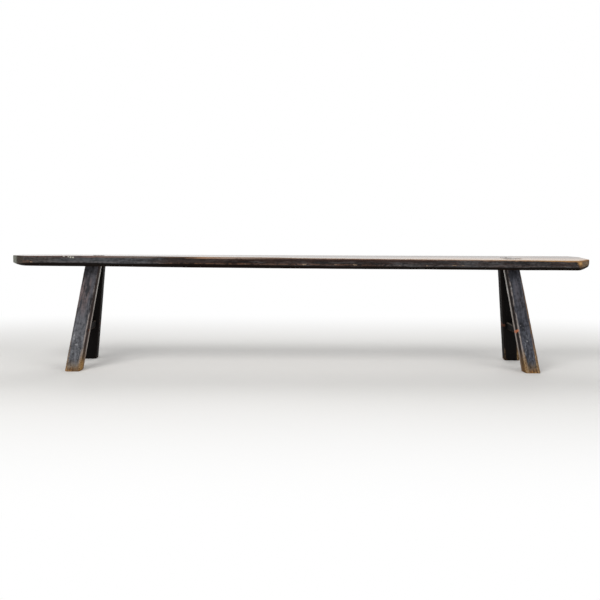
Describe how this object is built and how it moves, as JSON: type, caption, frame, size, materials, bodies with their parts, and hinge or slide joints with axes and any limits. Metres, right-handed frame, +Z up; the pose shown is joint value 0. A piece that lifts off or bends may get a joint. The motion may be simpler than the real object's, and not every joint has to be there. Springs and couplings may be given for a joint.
{
  "type": "plank bench",
  "caption": "Long narrow plank bench with clipped corners, splayed squared legs tenoned through the seat, and a pegged cross rail low between each pair of legs.",
  "frame": {"origin": "on the floor, under the middle of the seat", "axes": "+X along the bench to its right end, +Y to its back, +Z up"},
  "size_m": [2.39, 0.3598, 0.4634],
  "materials": {
    "seat_finish": "old dark finish, waxed, worn to brown wood on the arrises",
    "leg_finish": "old black finish, satin, worn to golden wood at the feet and arrises",
    "wedge_wood": "dark end grain",
    "rail_finish": "old black finish, satin",
    "peg_wood": "bare worn end grain"
  },
  "bodies": {
    "root": {"seat_plank": "seat_finish", "leg_front_left": "leg_finish", "leg_front_right": "leg_finish", "leg_back_left": "leg_finish", "leg_back_right": "leg_finish", "wedge_front_left": "wedge_wood", "wedge_front_right": "wedge_wood", "wedge_back_left": "wedge_wood", "wedge_back_right": "wedge_wood", "rail_left": "rail_finish", "rail_right": "rail_finish", "peg_front_left": "peg_wood", "peg_front_right": "peg_wood", "peg_back_left": "peg_wood", "peg_back_right": "peg_wood"}
  },
  "joints": []
}
